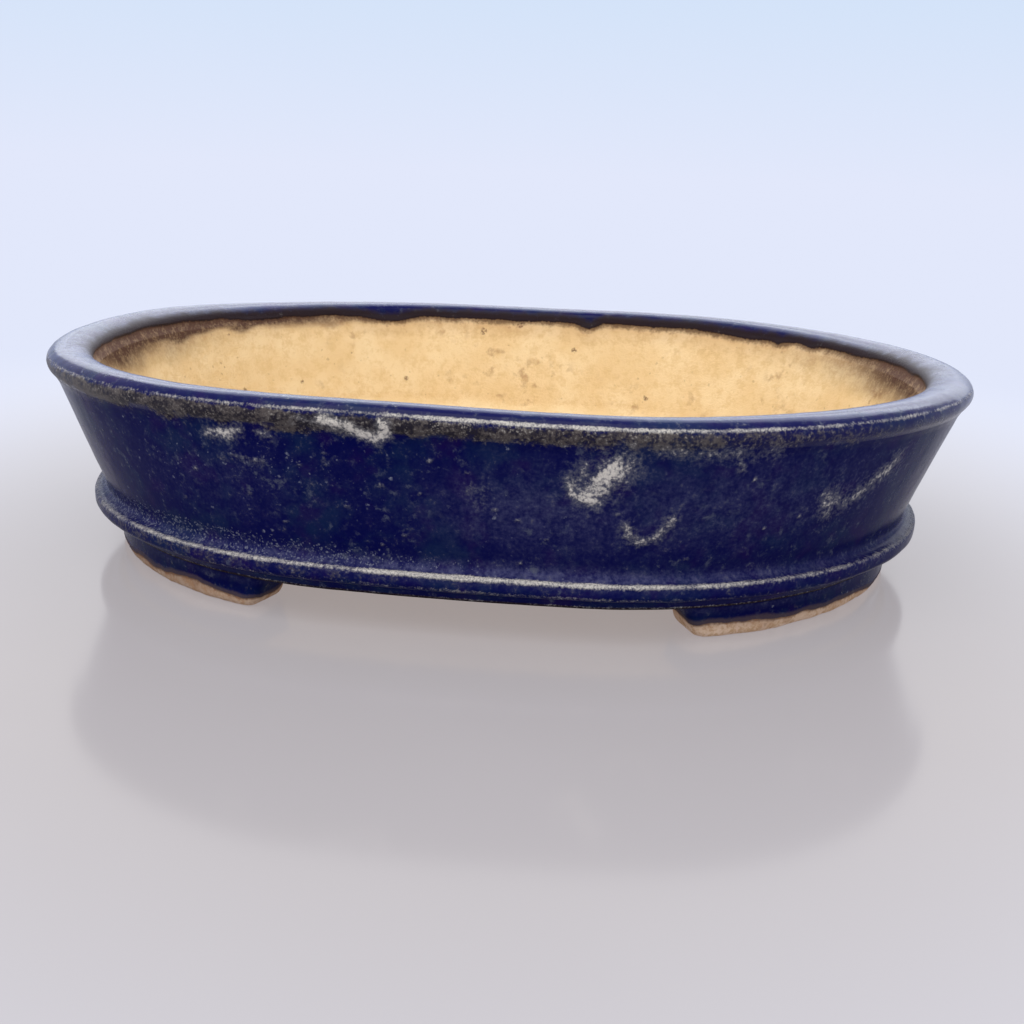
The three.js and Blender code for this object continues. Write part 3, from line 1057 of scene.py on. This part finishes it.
class PotColours(bpy.types.PropertyGroup):
    """Colours and gloss of the glaze and the clay."""

    glaze_deep: colour("Deep Glaze", "Thick cobalt glaze", (0.0012, 0.0022, 0.05))
    glaze_teal: colour("Teal Glaze", "Glaze where it breaks to teal", (0.0035, 0.0135, 0.053))
    glaze_violet: colour("Violet Glaze", "Glaze where it breaks to violet", (0.009, 0.002, 0.055))
    # This colour also paints the highlight along the feet's top edge.
    mist_and_highlight: colour("Veil", "Grey-violet mist in the glaze", (0.045, 0.047, 0.115))
    smudge: colour("Smudge", "Grey smudges and scratches on the glaze", (0.085, 0.095, 0.13))
    thin_glaze: colour("Thin Glaze", "Glaze burnt thin at its edges", (0.016, 0.009, 0.011))
    thin_sole: colour("Thin Glaze by the Soles", "Glaze thinned above the soles", (0.1, 0.07, 0.065))
    speck: colour("Speck", "Pale pinholes", (0.26, 0.275, 0.33))
    worn: colour("Worn Glaze", "Glaze that has lost its gloss", (0.08, 0.066, 0.056))
    worn_dark: colour("Worn Glaze Dark", "Dark grains of worn glaze", (0.014, 0.011, 0.012))
    worn_pale: colour("Worn Glaze Pale", "Pale grains of worn glaze", (0.22, 0.2, 0.175))
    # These two colours also paint the highlights along the lip's nose and the lower edges of the bead
    # and the base ring.
    crust_and_highlight: colour("Crust", "Buff crust along the lip and the bead", (0.56, 0.53, 0.48))
    crust_and_highlight_dull: colour("Dull Crust", "Thin crust along the lip and the bead", (0.25, 0.24, 0.235))
    lime: colour("Lime", "Hard water deposit", (0.7, 0.65, 0.58))
    lime_dull: colour("Dull Lime", "Thin hard water deposit", (0.15, 0.15, 0.165))
    clay: colour("Clay", "Bare clay", (0.68, 0.502, 0.277))
    clay_pale: colour("Pale Clay", "Bare clay where it is palest", (0.735, 0.575, 0.35))
    clay_dark: colour("Dark Clay", "Bare clay where it is darkest", (0.6, 0.42, 0.21))
    clay_grain: colour("Clay Grain", "Dark grains and pits in the clay", (0.17, 0.1, 0.06))
    scorch: colour("Scorch", "Clay scorched beside the glaze", (0.06, 0.03, 0.02))
    scorch_light: colour("Light Scorch", "Clay slightly browned near the glaze", (0.3, 0.16, 0.08))
    scorch_dim: colour("Dim Scorch", "Browned clay inside the ends", (0.08, 0.045, 0.034))
    sole: colour("Sole", "Bare clay of the soles", (0.6, 0.42, 0.3))
    sole_pale: colour("Pale Sole", "Soles where they are palest", (0.74, 0.56, 0.42))
    sole_red: colour("Sole Red", "Iron-red patches on the soles", (0.36, 0.17, 0.1))
    glaze_roughness: FloatProperty(name="Glaze Roughness", description="Blur of the gloss",
                                   default=0.2, min=0, max=1, subtype="FACTOR")
    wall_sparkle: FloatProperty(name="Wall Reflection", description="Strength of the gloss",
                                default=0.018, min=0, max=1, subtype="FACTOR")
    lip_sparkle: FloatProperty(name="Lip Reflection", description="Strength of the lip's gloss",
                               default=0.1, min=0, max=1, subtype="FACTOR")
    clay_roughness: FloatProperty(name="Clay Roughness", description="Blur of the bare clay",
                                  default=0.92, min=0, max=1, subtype="FACTOR")


class PotStage(bpy.types.PropertyGroup):
    """The floor, the lights and the camera."""

    floor_near: colour("Floor", "Floor round the pot", (0.19, 0.187, 0.2))
    floor_far: colour("Far Floor", "Floor far from the pot", (0.46, 0.48, 0.56))
    floor_light: colour("Floor Glow", "Light that comes through the floor", (0.28, 0.258, 0.266))
    horizon: colour("Horizon", "Backdrop near the floor", (0.76, 0.805, 0.965))
    backdrop_top: colour("Backdrop Top", "Backdrop at the top of the view", (0.66, 0.77, 0.947))
    overhead: colour("Overhead", "Soft light from above", (1.0, 0.98, 0.97))
    floor_reach: length("Floor Reach", "How far the floor runs from the pot", 3.0)
    key_power: FloatProperty(name="Key Light", description="Soft light above and in front, in watts",
                             default=2.6, min=0)
    back_power: FloatProperty(name="Back Light", description="Broad light behind, in watts",
                              default=5.6, min=0)
    lip_power: FloatProperty(name="Lip Light", description="Broad light on the lip, in watts",
                             default=17.0, min=0)
    lens: FloatProperty(name="Lens", description="Camera lens, in millimetres", default=42.19, min=1)
    distance: length("Camera Distance", "From the middle of the pot's ground", 0.2261)
    elevation: FloatProperty(name="Elevation", description="Camera height as an angle",
                             default=math.radians(16.431), subtype="ANGLE", unit="ROTATION")
    yaw: FloatProperty(name="Yaw", description="Camera turn round the pot from the front",
                       default=math.radians(6.848), subtype="ANGLE", unit="ROTATION")
    roll: FloatProperty(name="Roll", description="Camera tilt about its own view",
                        default=math.radians(-2.064), subtype="ANGLE", unit="ROTATION")
    pan: FloatProperty(name="Pan", description="Camera turn to one side",
                       default=math.radians(-0.488), subtype="ANGLE", unit="ROTATION")
    tilt: FloatProperty(name="Tilt", description="Camera turn upwards",
                        default=math.radians(0.621), subtype="ANGLE", unit="ROTATION")


# --- Operators ---------------------------------------------------------------------------------------

class PieceOperator(bpy.types.Operator):
    """What the piece operators share."""

    bl_options = {"REGISTER", "UNDO"}

    def execute(self, context):
        self.build(context.scene.pot_shape, context.scene.pot_colours)
        return {"FINISHED"}


class POT_OT_lip(PieceOperator):
    """Builds the rolled lip with its glaze edge inside"""

    bl_idname = "pot.lip"
    bl_label = "Lip"

    def build(self, shape, colours):
        outside = between(OUTSIDE, TOP_LEVEL, LIP_LEVEL, LIP_STEP)
        inside = between(INSIDE, TOP_LEVEL, LIP_LEVEL, LIP_STEP)[::-1][:-1]
        section = np.concatenate([inside, outside, joint(outside[-1], inside[0])])
        inside_rows = np.arange(len(inside))
        # The ridge along the lip's nose is a painted highlight of the overhead light over pale worn
        # crust; ridge_span makes it strongest at the front right.
        ridge = bump(section[:, 1], 32.72, 0.2) + 0.22 * bump(section[:, 1], 31.9, 0.5)
        ridge = ridge * (section[:, 0] < NOSE_RADIUS)
        piece = hoop("lip_glaze", section, ware("lip_ware", colours, colours.lip_sparkle), shape,
                     inside_rows=inside_rows, ridge=ridge, ridge_span=(284, 20))
        place(piece, "lip", "glazed_lip")


class POT_OT_wall(PieceOperator):
    """Builds the flared wall, glazed outside and bare inside"""

    bl_idname = "pot.wall"
    bl_label = "Wall"

    def build(self, shape, colours):
        outside = between(OUTSIDE, LIP_LEVEL, WALL_LEVEL, SKIN_STEP)
        inside = between(INSIDE, LIP_LEVEL, WALL_LEVEL - TOE_SINK, INNER_STEP)[::-1]
        section = np.concatenate([outside, joint(outside[-1], inside[0]), inside,
                                  joint(inside[-1], outside[0], 2)])
        first = len(outside) + 3
        inside_rows = np.arange(first, first + len(inside))
        piece = hoop("wall_glaze", section, ware("wall_ware", colours, colours.wall_sparkle), shape,
                     inside_rows=inside_rows)
        place(piece, "wall", "glazed_wall")


class POT_OT_waist_bead(PieceOperator):
    """Builds the bead round the waist with its crusted edge"""

    bl_idname = "pot.waist_bead"
    bl_label = "Waist Bead"

    def build(self, shape, colours):
        outside = between(OUTSIDE, WALL_LEVEL, FLOOR_LEVEL, BEAD_STEP)
        back_low, back_high = (WALL_FOOT_INSET, FLOOR_LEVEL), (WALL_FOOT_INSET, WALL_LEVEL)
        section = np.concatenate([outside, [[*back_low, 0, 0]], joint(back_low, back_high)])
        edge = WALL_LEVEL - BEAD_EDGE_DROP
        away = np.hypot(section[:, 0] - BEAD_INSET - 0.2, section[:, 1] - edge + 0.05)
        # The lower line, low on the bead just above the ring, is a painted highlight along that edge,
        # partly paler thin glaze; the upper ridge is the crust on the bead's edge.
        lower = 0.36 * bump(section[:, 1], FLOOR_LEVEL + 0.6, 0.28)
        ridge = (bump(away, 0, 0.36) + lower) * (np.abs(section[:, 2:]).sum(1) > 0)
        material = ware("bead_ware", colours, colours.wall_sparkle)
        piece = hoop("waist_bead_glaze", section, material, shape, ridge=ridge,
                     ridge_span=(272, 30))
        place(piece, "waist_bead", "glazed_bead")


class POT_OT_base_ring(PieceOperator):
    """Builds the ring under the bead"""

    bl_idname = "pot.base_ring"
    bl_label = "Base Ring"

    def build(self, shape, colours):
        outside = between(OUTSIDE, FLOOR_LEVEL, BASE_LEVEL, BEAD_STEP)
        low, high = (RING_INNER_INSET, BASE_LEVEL), (RING_INNER_INSET, FLOOR_LEVEL)
        section = np.concatenate([
            outside, joint(outside[-1], low, 14), [[*low, 0, 0]], joint(low, high),
            [[*high, 0, 0]], joint(high, outside[0], 4)])
        material = ware("base_ware", colours, colours.wall_sparkle)
        # A painted highlight along the ring's lower edge, partly paler thin glaze, carried by the
        # crust mark.
        ridge = 0.36 * bump(section[:, 1], BASE_LEVEL + 0.5, 0.2)
        ridge = ridge * (np.abs(section[:, 2:]).sum(1) > 0)
        piece = hoop("base_ring_glaze", section, material, shape, bare_below=BASE_LEVEL + 0.12,
                     ridge=ridge)
        place(piece, "base_ring", "glazed_base")


class POT_OT_floor_slab(PieceOperator):
    """Builds the clay floor with its two drain holes"""

    bl_idname = "pot.floor_slab"
    bl_label = "Floor Slab"

    def build(self, shape, colours):
        material = ware("floor_ware", colours, colours.wall_sparkle)
        place(floor_slab(material, shape), "floor_slab", "bare_clay")


class POT_OT_feet(PieceOperator):
    """Builds the four low feet with their bare soles"""

    bl_idname = "pot.feet"
    bl_label = "Feet"

    def build(self, shape, colours):
        material = ware("foot_ware", colours, colours.wall_sparkle, sole=True)
        for node, span in FEET.items():
            place(foot(node + "_glaze", span, material, shape), node, "glazed_foot")


# How far the stage floor lies below the soles, in metres, so that the two don't flicker.
FLOOR_GAP = 0.00002


def area_light(name, place, target, size, power, tint):
    """A soft rectangular light, which the camera doesn't see."""
    lamp = bpy.data.lights.new(name, "AREA")
    lamp.shape = "RECTANGLE"
    lamp.size, lamp.size_y = size
    lamp.energy = power
    lamp.color = tint
    holder = bpy.data.objects.new(name, lamp)
    holder.location = place
    holder.rotation_euler = (Vector(target) - Vector(place)).to_track_quat("-Z", "Y").to_euler()
    holder.visible_camera = False
    bpy.context.scene.collection.objects.link(holder)
    return holder


class POT_OT_stage(bpy.types.Operator):
    """Builds the floor, the backdrop, the lights and the camera"""

    bl_idname = "pot.stage"
    bl_label = "Stage"
    bl_options = {"REGISTER", "UNDO"}

    def execute(self, context):
        stage = context.scene.pot_stage
        self.floor(stage)
        self.backdrop(context.scene, stage)
        area_light("key_light", (-0.12, -0.42, 0.75), (0, 0.02, 0.02), (0.6, 0.5),
                   stage.key_power, (1.0, 0.98, 0.95))
        back = area_light("back_light", (0.0, 0.95, 0.46), (0, 0.3, 0.1), (1.7, 0.66),
                          stage.back_power, (0.95, 0.97, 1.0))
        high = area_light("lip_light", (0.0, 0.6, 0.75), (0, 0, 0.03), (1.4, 0.7),
                          stage.lip_power, (0.86, 0.92, 1.0))
        for lamp, parts in ((back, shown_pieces()), (high, [bpy.data.objects["lip_glaze"]])):
            lit = bpy.data.collections.new("lit_by_" + lamp.name)
            for part in parts:
                lit.objects.link(part)
            lamp.light_linking.receiver_collection = lit
        self.camera(context.scene, stage)
        return {"FINISHED"}

    def floor(self, stage):
        side = stage.floor_reach
        points = [(-side, -side, 0.0), (side, -side, 0.0), (side, side, 0.0), (-side, side, 0.0)]
        faces = [(0, 1, 2, 3)]
        mesh = bpy.data.meshes.new("floor")
        mesh.from_pydata(points, [], faces)
        mesh.materials.append(floor_finish(stage))
        floor = bpy.data.objects.new("floor", mesh)
        floor.location.z = -FLOOR_GAP
        bpy.context.scene.collection.objects.link(floor)
        floor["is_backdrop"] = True

    def backdrop(self, scene, stage):
        world = bpy.data.worlds.new("backdrop")
        g = Graph(world)
        place = g.node("ShaderNodeTexCoord").outputs["Generated"]
        up = g.node("ShaderNodeSeparateXYZ", Vector=place).outputs["Z"]
        shade = stage.horizon
        # The sine of the angle above the ground at which each colour starts and is reached.
        for start, stop, tint in ((0.0, 0.13, stage.backdrop_top), (0.14, 0.4, stage.overhead)):
            risen = g.node("ShaderNodeMapRange", Value=up, From_Min=start, From_Max=stop)
            shade = g.mix(risen.outputs[0], shade, tint)
        light = g.node("ShaderNodeBackground", Color=shade)
        out = g.node("ShaderNodeOutputWorld")
        g.feed(out.inputs["Surface"], light.outputs[0])
        scene.world = world
        scene.view_settings.view_transform = "Standard"

    def camera(self, scene, stage):
        back = Vector((math.sin(stage.yaw) * math.cos(stage.elevation),
                       -math.cos(stage.yaw) * math.cos(stage.elevation),
                       math.sin(stage.elevation)))
        turn = (-back).to_track_quat("-Z", "Y").to_matrix()
        turn = turn @ Matrix.Rotation(stage.pan, 3, "Y") @ Matrix.Rotation(stage.tilt, 3, "X")
        turn = turn @ Matrix.Rotation(-stage.roll, 3, "Z")
        lens = bpy.data.cameras.new("camera")
        lens.lens = stage.lens
        lens.clip_start = 0.01
        lens.clip_end = 20.0
        camera = bpy.data.objects.new("camera", lens)
        camera.matrix_world = Matrix.Translation(back * stage.distance) @ turn.to_4x4()
        scene.collection.objects.link(camera)
        scene.camera = camera


class POT_PT_pot(bpy.types.Panel):
    """Lists the pot's pieces and settings"""

    bl_idname = "POT_PT_pot"
    bl_label = "Pot"
    bl_space_type = "VIEW_3D"
    bl_region_type = "UI"
    bl_category = "Pot"

    def draw(self, context):
        for operator in OPERATORS:
            self.layout.operator(operator.bl_idname)
        for group in (context.scene.pot_shape, context.scene.pot_colours, context.scene.pot_stage):
            box = self.layout.box()
            for name in group.__annotations__:
                box.prop(group, name)


SETTINGS = {"pot_shape": PotShape, "pot_colours": PotColours, "pot_stage": PotStage}
OPERATORS = (POT_OT_floor_slab, POT_OT_wall, POT_OT_lip, POT_OT_waist_bead, POT_OT_base_ring,
             POT_OT_feet, POT_OT_stage)


def register():
    for name, group in SETTINGS.items():
        bpy.utils.register_class(group)
        setattr(bpy.types.Scene, name, PointerProperty(type=group))
    for part in (*OPERATORS, POT_PT_pot):
        bpy.utils.register_class(part)


def unregister():
    for part in (POT_PT_pot, *reversed(OPERATORS)):
        bpy.utils.unregister_class(part)
    for name, group in reversed(SETTINGS.items()):
        delattr(bpy.types.Scene, name)
        bpy.utils.unregister_class(group)


def main():
    register()
    for operator in OPERATORS:
        family, name = operator.bl_idname.split(".")
        getattr(getattr(bpy.ops, family), name)()


if __name__ == "__main__":
    main()
